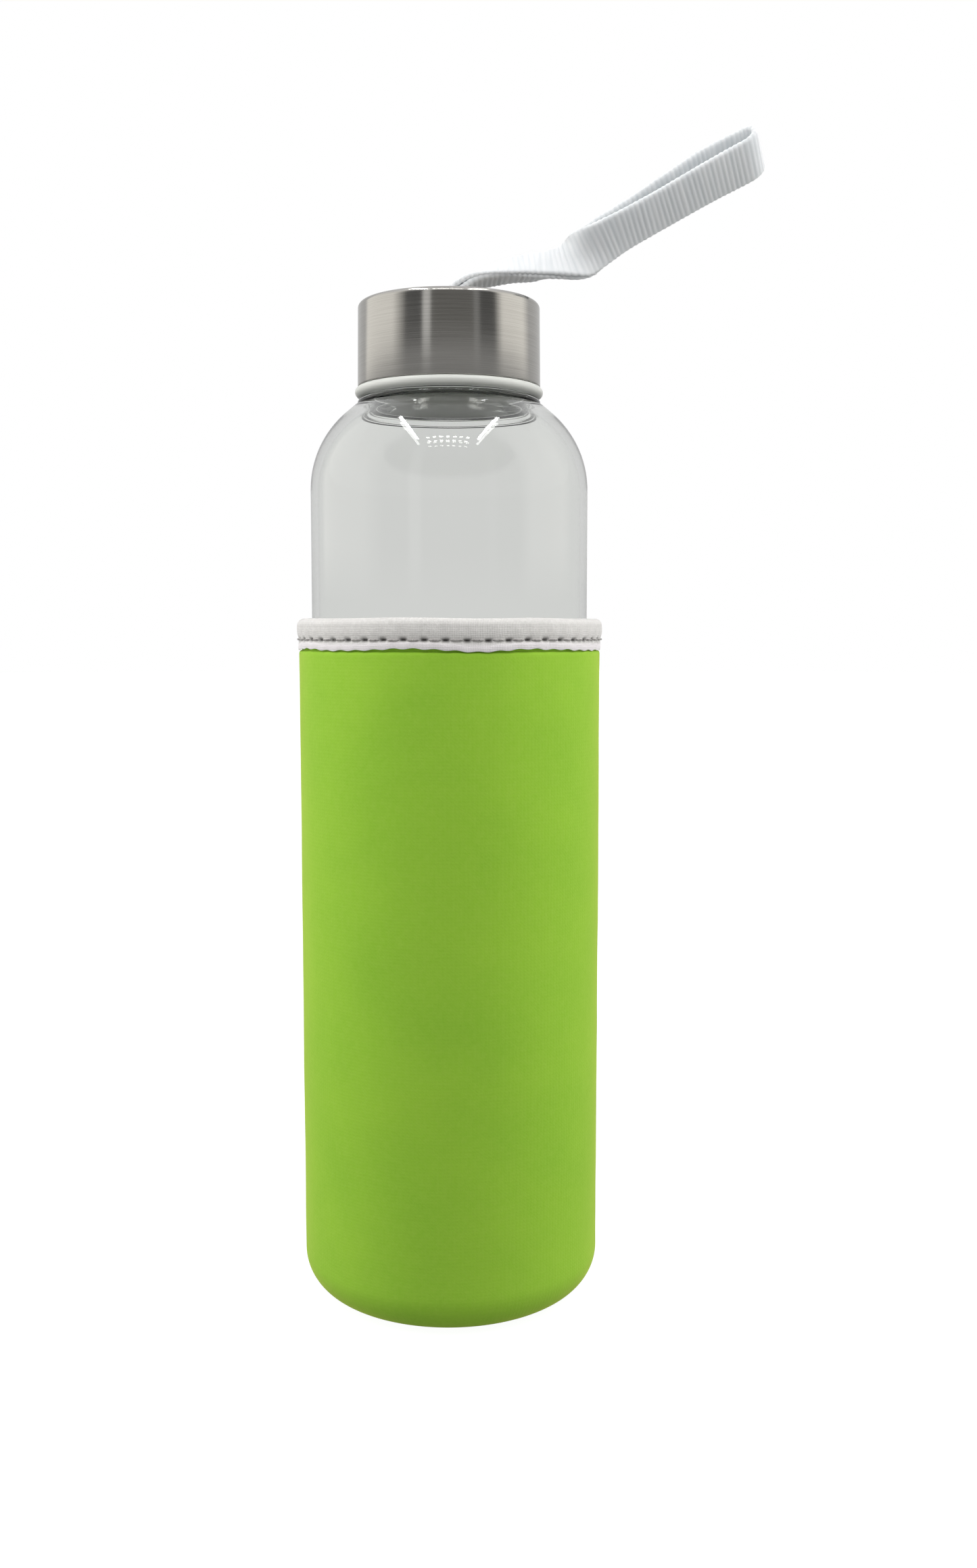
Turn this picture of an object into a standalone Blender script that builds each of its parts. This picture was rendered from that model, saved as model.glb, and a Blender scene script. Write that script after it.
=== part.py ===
"""Glass water bottle in a neoprene sleeve, with a steel screw cap and a webbing carry loop.

Metres, +Z up. The origin is the middle of the face that the sleeve stands on, and the
bottle's axis is +Z. The carry loop leans towards +X.
"""

import math

import bmesh
import bpy
import numpy as np

# Fits
STEPS = 36  # facets round a turned piece
GAP = 0.0003  # between pieces that touch
FINE_MERGE = 0.00001

# Sleeve
SLEEVE_R = 0.0333
SLEEVE_WALL = 0.0026
HEEL_R = 0.0092  # outer rounding at the sleeve's foot
SEAM_SLIT = 0.0011  # between the wall's foot and the base disc
SEAM_THREAD_R = 0.00025
SEAM_THREAD_Z = 0.0008
SIDE_SEAM_R = 0.00035
SIDE_SEAM_FOOT = 0.0100

# Rolled edge of the sleeve
BINDING_TOP = 0.1520
BINDING_FOOT = 0.1455
BINDING_R = 0.03375
BINDING_WAIST_R = 0.0335
BINDING_TAPE = 0.00055
STITCH_Z = 0.1475
STITCH_THREAD_R = 0.0002

# Glass
GLASS_R = 0.0304
GLASS_WALL = 0.0016
GLASS_FOOT = SLEEVE_WALL + GAP
GLASS_HEEL_R = 0.0070
PUNT_R = 0.0200
PUNT_RISE = 0.0020
FLOOR = 0.0035
SHOULDER_Z = 0.1799
SHOULDER_ARC_R = 0.0215
SHOULDER_LEAN = 49  # degrees that the dome turns before it runs straight to the neck
SHOULDER_DROP = 0.0014  # how much lower the dome starts inside
SHELF_Z = 0.1997
SHELF_EDGE_R = 0.0008
SHELF_R = 0.0186
NECK_R = 0.0167
NECK_BORE_R = 0.0147
NECK_FILLET = 0.0004
RIM_Z = 0.2115

# Thread
LEAD = 0.0040  # rise in one turn
NECK_TURNS = 1.5
CAP_TURNS = 1.25
TURN_STEPS = 24
RIDGE_R = 0.00085
NECK_RIDGE_R = 0.0169  # middle of the ridge on the neck
CAP_RIDGE_R = 0.0181  # middle of the ridge in the cap
NECK_RIDGE_Z = 0.2028
CAP_RIDGE_Z = NECK_RIDGE_Z + LEAD / 2

# Cap
CAP_TOP = 0.2200
CAP_FOOT = 0.2024
CAP_TOP_R = 0.01978
CAP_FOOT_R = 0.01994
CAP_EDGE_R = 0.0011
STEEL = 0.00045
SLOT_LENGTH = 0.0116
SLOT_WIDTH = 0.0036
LINER_R = 0.0190
LINER_BORE_R = 0.01815
LINER_RIM_BORE_R = 0.0176
LINER_RING_R = 0.02055
LINER_RING_HALF = 0.00105
LINER_FOOT = 0.2000
LINER_TOP = CAP_TOP - STEEL - GAP
PLATE_TOP = 0.2145
PLATE = 0.0012
SEAL_IN_R = 0.0140
SEAL_OUT_R = 0.0177
SEAL = 0.0012

# Carry loop
WEBBING = 0.0012
WEBBING_WIDTH = 0.0100
STRAND_HALF = 0.00075  # half the distance between strands that lie on each other
KEEPER_R = 0.0010
KEEPER_LENGTH = 0.0150
KEEPER_Z = 0.2173
ROOT_R = KEEPER_R + GAP + WEBBING / 2
ROOT_SPREAD_Z = CAP_TOP - STEEL - GAP
ROOT_TOP = CAP_TOP + 0.0004
SWING_Z = 0.2212
# Middle of each strand of the loop: x, y, z and its turn about the run in degrees.
UPPER_STATIONS = (
    (0.0001, 0.0, 0.2224, 0),
    (0.0022, 0.0, 0.2241, 2),
    (0.0046, 0.0, 0.2257, 7),
    (0.0080, -0.0001, 0.2270, 18),
    (0.0125, -0.0003, 0.2279, 28),
    (0.0180, -0.0004, 0.2286, 36),
    (0.0225, -0.0005, 0.2289, 42),
    (0.0265, -0.0006, 0.2297, 60),
    (0.0310, -0.0008, 0.2317, 116),
    (0.0370, -0.0012, 0.2350, 136),
    (0.0460, -0.0012, 0.2399, 140),
    (0.0560, -0.0016, 0.2454, 138),
    (0.0642, -0.0016, 0.2497, 135),
)
LOWER_STATIONS = (
    (0.0012, 0.0, 0.2213, 0),
    (0.0030, 0.0, 0.2228, 0),
    (0.0054, 0.0, 0.2243, 0),
    (0.0085, 0.0001, 0.2252, 0),
    (0.0140, 0.0004, 0.2259, 4),
    (0.0200, 0.0008, 0.2261, 10),
    (0.0240, 0.0011, 0.2274, 32),
    (0.0275, 0.0013, 0.2293, 66),
    (0.0315, 0.0011, 0.2328, 118),
    (0.0390, 0.0016, 0.2382, 138),
    (0.0470, 0.0013, 0.2435, 141),
    (0.0560, 0.0018, 0.2492, 138),
    (0.0642, 0.0020, 0.2532, 135),
)
LOOP_STEPS = 5  # sections between two stations
LOOP_TIP = 0.0030  # how far the fold reaches past the last station
FOLD_STEPS = 8


def clear_scene():
    for obj in list(bpy.data.objects):
        bpy.data.objects.remove(obj, do_unlink=True)


def make_collection(name):
    collection = bpy.data.collections.new(name)
    bpy.context.scene.collection.children.link(collection)
    return collection


def material(name, color, roughness, metallic=0.0, transmission=0.0):
    made = bpy.data.materials.new(name)
    made.use_nodes = True
    shader = made.node_tree.nodes["Principled BSDF"]
    shader.inputs["Base Color"].default_value = (*color, 1.0)
    shader.inputs["Roughness"].default_value = roughness
    shader.inputs["Metallic"].default_value = metallic
    shader.inputs["Transmission Weight"].default_value = transmission
    return made


def add_object(name, data, collection, finish=None):
    obj = bpy.data.objects.new(name, data)
    collection.objects.link(obj)
    if finish:
        data.materials.append(finish)
    return obj


def arc(middle, radius, start, end, count):
    """Points (r, z) on an arc between two angles, in degrees up from the outward radius."""
    angles = np.radians(np.linspace(start, end, count + 1))
    return [(middle[0] + radius * math.cos(a), middle[1] + radius * math.sin(a)) for a in angles]


def turned(name, profile, collection, finish, closed=True):
    """A solid of revolution about Z, from points (r, z) whose outer side runs downwards."""
    mesh = bpy.data.meshes.new(name)
    edges = [(i, i + 1) for i in range(len(profile) - 1)]
    if closed:
        edges.append((len(profile) - 1, 0))
    mesh.from_pydata([(r, 0.0, z) for r, z in profile], edges, [])
    obj = add_object(name, mesh, collection, finish)
    screw = obj.modifiers.new("Turn", "SCREW")
    screw.steps = STEPS
    screw.render_steps = STEPS
    screw.use_merge_vertices = True
    screw.merge_threshold = FINE_MERGE
    screw.use_smooth_shade = True
    return obj


def ring(name, radius, height, thickness_r, collection, finish):
    """A thin round ring about Z."""
    bpy.ops.mesh.primitive_torus_add(
        location=(0, 0, 0), major_segments=STEPS, minor_segments=6,
        major_radius=radius, minor_radius=thickness_r,
    )
    obj = bpy.context.object
    obj.name = name
    obj.location.z = height
    obj.data.shade_smooth()
    obj.data.materials.append(finish)
    for holder in list(obj.users_collection):
        holder.objects.unlink(obj)
    collection.objects.link(obj)
    return obj


def boolean(obj, other, operation):
    modifier = obj.modifiers.new(operation.title(), "BOOLEAN")
    modifier.operation = operation
    modifier.object = other
    other.hide_render = True
    other.display_type = "WIRE"


def wire(name, points, radius, collection, finish=None, radii=None):
    """A round tube along a run of points, with filled ends."""
    curve = bpy.data.curves.new(name, "CURVE")
    curve.dimensions = "3D"
    curve.bevel_depth = radius
    curve.bevel_resolution = 2
    curve.use_fill_caps = True
    spline = curve.splines.new("POLY")
    spline.points.add(len(points) - 1)
    for i, (point, place) in enumerate(zip(spline.points, points)):
        point.co = (*place, 1.0)
        point.radius = radii[i] if radii else 1.0
    return add_object(name, curve, collection, finish)


def solid_of(curve_object, collection):
    """The curve's solid as a mesh object with welded caps, so that it can be joined to a piece."""
    bpy.context.view_layer.update()
    evaluated = curve_object.evaluated_get(bpy.context.evaluated_depsgraph_get())
    mesh = bpy.data.meshes.new_from_object(evaluated)
    welded = bmesh.new()
    welded.from_mesh(mesh)
    bmesh.ops.remove_doubles(welded, verts=welded.verts, dist=FINE_MERGE)
    welded.to_mesh(mesh)
    welded.free()
    solid = add_object(curve_object.name + "_solid", mesh, collection)
    solid.matrix_world = curve_object.matrix_world
    bpy.data.objects.remove(curve_object, do_unlink=True)
    return solid


def thread_ridge(name, radius, start_z, turns, cutters):
    """A round helical ridge that runs out at both ends."""
    last = int(turns * TURN_STEPS)
    points = []
    radii = []
    for i in range(last + 1):
        angle = 2 * math.pi * i / TURN_STEPS
        height = start_z + LEAD * i / TURN_STEPS
        points.append((radius * math.cos(angle), radius * math.sin(angle), height))
        radii.append(min(1.0, 0.4 + 0.2 * min(i, last - i)))
    return solid_of(wire(name, points, RIDGE_R, cutters, radii=radii), cutters)


def rounded_block(name, size, place, radius, cutters):
    """A block whose upright edges are rounded."""
    block = bmesh.new()
    bmesh.ops.create_cube(block, size=1.0)
    bmesh.ops.scale(block, vec=size, verts=block.verts)
    upright = [e for e in block.edges if abs(e.verts[0].co.z - e.verts[1].co.z) > size[2] / 2]
    bmesh.ops.bevel(
        block, geom=upright, offset=radius, segments=4, profile=0.5, affect="EDGES"
    )
    mesh = bpy.data.meshes.new(name)
    block.to_mesh(mesh)
    block.free()
    obj = add_object(name, mesh, cutters)
    obj.location = place
    return obj


def webbing(name, sections, origin, collection, finish):
    """A flat band through sections (place, across), with its object's origin at origin."""
    band = bmesh.new()
    rows = []
    for place, across in sections:
        middle = np.array(place) - np.array(origin)
        half = np.array(across) * WEBBING_WIDTH / 2
        rows.append([band.verts.new(middle - half), band.verts.new(middle + half)])
    for (a, b), (c, d) in zip(rows, rows[1:]):
        band.faces.new((a, b, d, c))
    mesh = bpy.data.meshes.new(name)
    band.to_mesh(mesh)
    band.free()
    obj = add_object(name, mesh, collection, finish)
    obj.location = origin
    thick = obj.modifiers.new("Thickness", "SOLIDIFY")
    thick.thickness = WEBBING
    thick.offset = 0.0
    thick.use_even_offset = True
    return obj


def glass_profile():
    """Up the inside from the middle of the floor, over the rim, and down the outside."""
    dome_r = GLASS_R - SHOULDER_ARC_R
    inner_heel_r = GLASS_HEEL_R - GLASS_WALL
    floor_z = GLASS_FOOT + FLOOR
    inside = [(0.0, floor_z + PUNT_RISE), (PUNT_R * 0.6, floor_z + PUNT_RISE * 0.6)]
    inside += arc((GLASS_R - GLASS_HEEL_R, floor_z + inner_heel_r), inner_heel_r, -90, 0, 4)
    inside += arc((dome_r, SHOULDER_Z - SHOULDER_DROP), SHOULDER_ARC_R - GLASS_WALL,
                  0, SHOULDER_LEAN, 6)
    last_r, last_z = inside[-1]
    slope = math.tan(math.radians(SHOULDER_LEAN))
    inside.append((NECK_BORE_R, last_z + (last_r - NECK_BORE_R) / slope))
    rim_r = (NECK_R - NECK_BORE_R) / 2
    rim = arc((NECK_BORE_R + rim_r, RIM_Z - rim_r), rim_r, 180, 0, 6)
    shelf = arc((NECK_R + NECK_FILLET, SHELF_Z + NECK_FILLET), NECK_FILLET, 180, 270, 2)
    shelf += arc((SHELF_R, SHELF_Z - SHELF_EDGE_R), SHELF_EDGE_R, 90, SHOULDER_LEAN, 3)
    dome = arc((dome_r, SHOULDER_Z), SHOULDER_ARC_R, SHOULDER_LEAN, 0, 8)
    heel = arc((GLASS_R - GLASS_HEEL_R, GLASS_FOOT + GLASS_HEEL_R), GLASS_HEEL_R, 0, -90, 5)
    punt = [(PUNT_R, GLASS_FOOT), (PUNT_R * 0.6, GLASS_FOOT + PUNT_RISE * 0.7),
            (0.0, GLASS_FOOT + PUNT_RISE)]
    return inside + rim + shelf + dome + heel + punt


def make_glass(collection, cutters):
    clear = material("clear_glass", (0.86, 0.90, 0.87), 0.03, transmission=1.0)
    bottle = turned("glass_bottle", glass_profile(), collection, clear, closed=False)
    ridge = thread_ridge("neck_ridge", NECK_RIDGE_R, NECK_RIDGE_Z, NECK_TURNS, cutters)
    boolean(bottle, ridge, "UNION")


def make_cap_shell(collection, cutters):
    steel = material("brushed_steel", (0.62, 0.61, 0.58), 0.28, metallic=1.0)
    corner = (CAP_TOP_R - CAP_EDGE_R, CAP_TOP - CAP_EDGE_R)
    outside = [(0.0, CAP_TOP)] + arc(corner, CAP_EDGE_R, 90, 0, 4) + [(CAP_FOOT_R, CAP_FOOT)]
    inside = [(CAP_FOOT_R - STEEL, CAP_FOOT)] + arc(corner, CAP_EDGE_R - STEEL, 0, 90, 3)
    inside.append((0.0, CAP_TOP - STEEL))
    shell = turned("cap_shell", outside + inside, collection, steel, closed=False)
    slot = rounded_block(
        "slot_cutter", (SLOT_WIDTH, SLOT_LENGTH, 8 * STEEL), (0, 0, CAP_TOP - STEEL / 2),
        SLOT_WIDTH * 0.4, cutters,
    )
    boolean(shell, slot, "DIFFERENCE")


def make_cap_liner(collection, cutters):
    grey = material("grey_plastic", (0.36, 0.36, 0.34), 0.45)
    flange = (LINER_RING_R - LINER_RING_HALF, LINER_FOOT + LINER_RING_HALF)
    profile = [(0.0, PLATE_TOP), (LINER_RIM_BORE_R, PLATE_TOP), (LINER_RIM_BORE_R, LINER_TOP),
               (LINER_R, LINER_TOP), (LINER_R, LINER_FOOT + 2 * LINER_RING_HALF)]
    profile += arc(flange, LINER_RING_HALF, 90, -90, 6)
    profile += [(LINER_BORE_R, LINER_FOOT), (LINER_BORE_R, PLATE_TOP - PLATE),
                (0.0, PLATE_TOP - PLATE)]
    liner = turned("cap_liner", profile, collection, grey, closed=False)
    ridge = thread_ridge("cap_ridge", CAP_RIDGE_R, CAP_RIDGE_Z, CAP_TURNS, cutters)
    boolean(liner, ridge, "UNION")


def make_cap_seal(collection):
    silicone = material("clear_silicone", (0.80, 0.80, 0.77), 0.5)
    top = PLATE_TOP - PLATE - GAP
    profile = [(SEAL_OUT_R, top), (SEAL_OUT_R, top - SEAL), (SEAL_IN_R, top - SEAL),
               (SEAL_IN_R, top)]
    turned("cap_seal", profile, collection, silicone)


def make_keeper(collection):
    steel = material("pin_steel", (0.55, 0.55, 0.54), 0.35, metallic=1.0)
    half = KEEPER_LENGTH / 2
    wire("strap_keeper_pin", [(0, -half, KEEPER_Z), (0, half, KEEPER_Z)], KEEPER_R, collection,
         steel)


def root_sections():
    """Down through the slot, round under the keeper pin and up again."""
    lines = [(-STRAND_HALF, ROOT_TOP), (-STRAND_HALF, ROOT_SPREAD_Z)]
    lines += arc((0.0, KEEPER_Z), ROOT_R, 140, 400, 12)
    lines += [(STRAND_HALF, ROOT_SPREAD_Z), (STRAND_HALF, ROOT_TOP)]
    return [((x, 0.0, z), (0.0, 1.0, 0.0)) for x, z in lines]


def smooth_rows(rows, steps):
    """Catmull-Rom rows through the given rows, with steps between each two."""
    rows = np.array(rows, float)
    padded = np.vstack([2 * rows[0] - rows[1], rows, 2 * rows[-1] - rows[-2]])
    found = []
    for i in range(1, len(padded) - 2):
        a, b, c, d = padded[i - 1:i + 3]
        for t in np.arange(steps) / steps:
            found.append(0.5 * (2 * b + (c - a) * t + (2 * a - 5 * b + 4 * c - d) * t ** 2
                                + (3 * b - a - 3 * c + d) * t ** 3))
    found.append(rows[-1])
    return np.array(found)


def strand_sections(stations):
    """Sections (place, across) along one strand, and the direction of its run at the end."""
    rows = smooth_rows(stations, LOOP_STEPS)
    runs = np.gradient(rows[:, :3], axis=0)
    sections = []
    for row, run in zip(rows, runs):
        run = run / np.linalg.norm(run)
        side = np.array((0.0, 1.0, 0.0)) - run[1] * run
        side /= np.linalg.norm(side)
        angle = math.radians(row[3])
        across = math.cos(angle) * side + math.sin(angle) * np.cross(run, side)
        sections.append((row[:3], across))
    return sections, run


def loop_sections():
    """Out along the upper strand, round the fold and back along the lower one."""
    out, run = strand_sections(UPPER_STATIONS)
    back, _ = strand_sections(LOWER_STATIONS)
    first, last = out[-1][0], back[-1][0]
    middle, half = (first + last) / 2, (first - last) / 2
    fold = []
    for angle in np.linspace(0, math.pi, FOLD_STEPS + 1)[1:-1]:
        place = middle + half * math.cos(angle) + run * LOOP_TIP * math.sin(angle)
        fold.append((place, out[-1][1]))
    return out + fold + back[::-1]


def make_strap(collection):
    cloth = material("grey_webbing", (0.72, 0.72, 0.70), 0.9)
    webbing("strap_root", root_sections(), (0.0, 0.0, CAP_TOP), collection, cloth)
    webbing("strap_loop", loop_sections(), (0.0, 0.0, SWING_Z), collection, cloth.copy())


def make_sleeve(collection):
    green = material("green_neoprene", (0.27, 0.50, 0.06), 0.85)
    inner_r = SLEEVE_R - SLEEVE_WALL
    squeezed_out = BINDING_WAIST_R - BINDING_TAPE - GAP
    squeezed_in = inner_r + BINDING_TAPE + GAP
    heel = (SLEEVE_R - HEEL_R, HEEL_R)
    top = BINDING_TOP - BINDING_TAPE - GAP
    step = BINDING_FOOT - GAP
    outside = [(squeezed_out, top), (squeezed_out, step), (SLEEVE_R, step - GAP)]
    outside += arc(heel, HEEL_R, 0, -90, 7)
    inside = arc(heel, HEEL_R - SLEEVE_WALL, -90, 0, 5)
    inside += [(inner_r, step - 2 * GAP), (squeezed_in, step), (squeezed_in, top)]
    turned("sleeve_wall", outside + inside, collection, green)
    base_r = SLEEVE_R - HEEL_R - SEAM_SLIT
    disc = [(0.0, SLEEVE_WALL), (base_r, SLEEVE_WALL), (base_r, 0.0), (0.0, 0.0)]
    turned("sleeve_base", disc, collection, green.copy(), closed=False)


def make_binding(collection):
    """The tape folded over the sleeve's top edge: a rolled top, a stitched waist, a flared foot."""
    grey = material("binding_tape", (0.62, 0.60, 0.56), 0.9)
    inner_r = SLEEVE_R - SLEEVE_WALL
    roll_r = (BINDING_R - inner_r) / 2
    roll = (inner_r + roll_r, BINDING_TOP - roll_r)
    outside = arc(roll, roll_r, 180, 0, 8)
    outside += [(BINDING_R, BINDING_TOP - 1.5 * roll_r), (BINDING_WAIST_R, STITCH_Z),
                (BINDING_R - BINDING_TAPE / 5, BINDING_FOOT)]
    in_r = BINDING_WAIST_R - BINDING_TAPE
    hollow_top = BINDING_TOP - BINDING_TAPE
    inside = [(in_r, BINDING_FOOT), (in_r, hollow_top - GAP), (in_r - GAP, hollow_top),
              (inner_r + BINDING_TAPE + GAP, hollow_top),
              (inner_r + BINDING_TAPE, hollow_top - GAP), (inner_r + BINDING_TAPE, BINDING_FOOT),
              (inner_r, BINDING_FOOT)]
    turned("sleeve_binding", outside + inside, collection, grey)
    thread = material("sewing_thread", (0.66, 0.64, 0.60), 0.8)
    stitch_r = BINDING_WAIST_R + GAP + STITCH_THREAD_R
    ring("binding_stitching", stitch_r, STITCH_Z, STITCH_THREAD_R, collection, thread)


def make_sleeve_seams(collection):
    """The thread that closes the sleeve at the back, and the one that holds its base."""
    green = material("seam_thread", (0.20, 0.40, 0.05), 0.8)
    back = SLEEVE_R + GAP + SIDE_SEAM_R
    points = [(0, back, SIDE_SEAM_FOOT), (0, back, BINDING_FOOT - 3 * GAP)]
    wire("sleeve_side_seam", points, SIDE_SEAM_R, collection, green)
    seam_r = SLEEVE_R - HEEL_R - SEAM_SLIT / 2
    ring("sleeve_base_seam", seam_r, SEAM_THREAD_Z, SEAM_THREAD_R, collection, green.copy())


def main():
    clear_scene()
    bottle = make_collection("glass_water_bottle")
    cutters = make_collection("cutters")
    make_sleeve(bottle)
    make_binding(bottle)
    make_sleeve_seams(bottle)
    make_glass(bottle, cutters)
    make_cap_seal(bottle)
    make_cap_liner(bottle, cutters)
    make_cap_shell(bottle, cutters)
    make_keeper(bottle)
    make_strap(bottle)


main()
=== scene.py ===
"""Looks of a water bottle: clear glass, lime neoprene sleeve, brushed steel cap, webbing loop."""

import math

import bpy
import numpy as np
from mathutils import Matrix, Vector, noise


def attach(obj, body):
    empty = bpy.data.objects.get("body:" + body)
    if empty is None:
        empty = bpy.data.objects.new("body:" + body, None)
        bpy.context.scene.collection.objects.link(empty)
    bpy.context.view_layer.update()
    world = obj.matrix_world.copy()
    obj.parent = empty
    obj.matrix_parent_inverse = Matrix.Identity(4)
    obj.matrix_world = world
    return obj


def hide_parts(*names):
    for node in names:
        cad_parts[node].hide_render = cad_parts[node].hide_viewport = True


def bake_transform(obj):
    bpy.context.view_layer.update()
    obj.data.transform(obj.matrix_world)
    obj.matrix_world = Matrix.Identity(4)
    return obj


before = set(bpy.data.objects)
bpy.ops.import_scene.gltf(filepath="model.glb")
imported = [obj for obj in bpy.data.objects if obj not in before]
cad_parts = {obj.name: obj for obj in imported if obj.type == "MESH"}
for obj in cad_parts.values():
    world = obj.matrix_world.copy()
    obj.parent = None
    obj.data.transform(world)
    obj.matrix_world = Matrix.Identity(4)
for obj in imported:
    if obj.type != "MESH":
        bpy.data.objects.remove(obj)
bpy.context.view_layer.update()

MM = 0.001
TURN = 2 * math.pi
FINE = 1e-6  # merging distance

# Camera
CAMERA_SIDE = 0.00863
CAMERA_BACK = 0.34423
CAMERA_HEIGHT = 0.15003
CAMERA_DIP = 5.80  # degrees below level
CAMERA_LENS = 35.34  # mm, on a 36 mm sensor

# Facets round a turned piece
ROUND = 160
STITCHES = 48
ROUND_TAPE = 16 * STITCHES

# Sleeve
SLEEVE_R = 33.3 * MM
SLEEVE_WALL = 2.6 * MM
HEEL_R = 9.2 * MM
SQUEEZED_OUT_R = 32.65 * MM
SQUEEZED_IN_R = 31.55 * MM
WALL_TOP = 151.15 * MM
STEP_Z = 145.2 * MM
BASE_R = 23.0 * MM
SEAM_R = 23.55 * MM
SIDE_SEAM_FOOT = 10.0 * MM
SIDE_SEAM_TOP = 144.6 * MM

# Thread
STITCH_R = 0.2 * MM
BOTTOM_STITCHES = 44
BOTTOM_STITCH_R = 0.26 * MM
ZIGZAG_PITCH = 2.8 * MM
ZIGZAG_REACH = 1.25 * MM  # to each side of the seam
ZIGZAG_R = 0.17 * MM

# Binding tape
TAPE = 0.55 * MM
TAPE_IN_R = 30.7 * MM
ROLL = (32.225 * MM, 150.475 * MM)
ROLL_R = 1.525 * MM
WAIST_R = 33.38 * MM
STITCH_Z = 147.5 * MM
LIP_Z = 145.5 * MM

# Glass
GLASS_R = 30.4 * MM
GLASS_WALL = 1.6 * MM
GLASS_FOOT = 2.9 * MM
GLASS_HEEL_R = 7.0 * MM
FLOOR = 3.5 * MM
PUNT_R = 20.0 * MM
PUNT_RISE = 2.0 * MM
SHOULDER_Z = 179.9 * MM
SHOULDER_ARC_R = 21.5 * MM
SHOULDER_LEAN = 49.0
SHOULDER_DROP = 0.4 * MM
SHELF_Z = 199.7 * MM
BEAD = (19.0 * MM, 198.75 * MM)
BEAD_R = 1.0 * MM
GROOVE = ((20.05 * MM, 197.95 * MM), (20.75 * MM, 198.02 * MM))
NECK_R = 16.7 * MM
NECK_BORE_R = 14.7 * MM
NECK_FILLET = 0.4 * MM
RIM_Z = 211.5 * MM
NECK_RIDGE_R = 16.9 * MM
NECK_RIDGE_Z = 202.8 * MM
THREAD_LEAD = 4.0 * MM
THREAD_RIDGE_R = 0.85 * MM

# Cap
CAP_TOP = 220.0 * MM
CAP_FOOT = 202.15 * MM
CAP_TOP_R = 19.78 * MM
CAP_FOOT_R = 19.94 * MM
CAP_EDGE_R = 1.1 * MM
STEEL = 0.45 * MM
SLOT_LENGTH = 11.6 * MM
SLOT_WIDTH = 3.6 * MM
LINER_R = 19.0 * MM
LINER_BORE_R = 18.15 * MM
LINER_RIM_BORE_R = 17.6 * MM
RING_R = 20.55 * MM
RING_HALF = 1.05 * MM
LINER_FOOT = 200.0 * MM
LINER_TOP = 219.25 * MM
PLATE_TOP = 214.5 * MM
PLATE = 1.2 * MM
CAP_RIDGE_R = 18.1 * MM
CAP_RIDGE_Z = 204.8 * MM
SEAL_OUT_R = 17.7 * MM
SEAL_IN_R = 14.0 * MM
SEAL_TOP = 213.0 * MM
SEAL_FOOT = 211.8 * MM

# Carry loop
WEBBING = 1.2 * MM
WEBBING_WIDTH = 10.0 * MM
STRAND_HALF = 0.75 * MM
PIN_R = 1.0 * MM
PIN_LENGTH = 15.0 * MM
PIN_Z = 217.3 * MM
ROOT_R = 1.9 * MM
ROOT_SPREAD_Z = 219.25 * MM
ROOT_TOP = 220.4 * MM
LOOP_TIP = 3.0 * MM
RIB = 1.15 * MM  # pitch of the cross ribs
RIB_HEIGHT = 0.17 * MM
BAND_STEP = 0.17 * MM  # between sections of the band's mesh

# Stations along each strand, mm: x, y, z, and the turn of the band about its run in degrees
UPPER_STATIONS = (
    (0.1, 0.0, 222.4, 0), (2.2, 0.0, 224.1, 2), (4.6, 0.0, 225.7, 7), (8.0, -0.1, 227.0, 18),
    (12.5, -0.3, 227.9, 28), (18.0, -0.4, 228.6, 36), (22.5, -0.5, 228.9, 42),
    (26.5, -0.6, 229.7, 60), (31.0, -0.8, 231.7, 116), (37.0, -1.2, 235.0, 136),
    (46.0, -1.2, 239.9, 140), (56.0, -1.6, 245.4, 138), (64.2, -1.6, 249.7, 135),
)
LOWER_STATIONS = (
    (1.2, 0.0, 221.3, 0), (3.0, 0.0, 222.8, 0), (5.4, 0.0, 224.3, 0), (8.5, 0.1, 225.2, 0),
    (14.0, 0.4, 225.9, 4), (20.0, 0.8, 226.1, 10), (24.0, 1.1, 227.4, 32),
    (27.5, 1.3, 229.3, 66), (31.5, 1.1, 232.8, 118), (39.0, 1.6, 238.2, 138),
    (47.0, 1.3, 243.5, 141), (56.0, 1.8, 249.2, 138), (64.2, 2.0, 253.2, 135),
)


# ---- modelling ----------------------------------------------------------------------------

def deselect():
    if bpy.context.mode != "OBJECT":
        bpy.ops.object.mode_set(mode="OBJECT")
    bpy.ops.object.select_all(action="DESELECT")


def arc(middle, radius, start, end, count):
    """Points (r, z) on an arc between two angles, in degrees up from the outward radius."""
    angles = np.radians(np.linspace(start, end, count + 1))
    return [(middle[0] + radius * math.cos(a), middle[1] + radius * math.sin(a)) for a in angles]


def one_vertex(name, place):
    """A new piece in edit mode, one selected vertex at place."""
    deselect()
    bpy.ops.mesh.primitive_plane_add(size=MM, enter_editmode=True, location=(0, 0, 0))
    piece = bpy.context.object
    piece.name = name
    piece.data.name = name
    bpy.ops.mesh.select_mode(type="VERT")
    bpy.ops.mesh.merge(type="CENTER")
    bpy.ops.transform.translate(value=place)
    return piece


def extrude_along(points):
    for a, b in zip(points, points[1:]):
        step = Vector(b) - Vector(a)
        bpy.ops.mesh.extrude_region_move(TRANSFORM_OT_translate={"value": step})


def finish_mesh(piece):
    """Merges doubles and turns the faces outwards, from edit mode."""
    bpy.ops.mesh.select_all(action="SELECT")
    bpy.ops.mesh.remove_doubles(threshold=FINE)
    bpy.ops.mesh.normals_make_consistent(inside=False)
    bpy.ops.object.mode_set(mode="OBJECT")
    return piece


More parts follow.
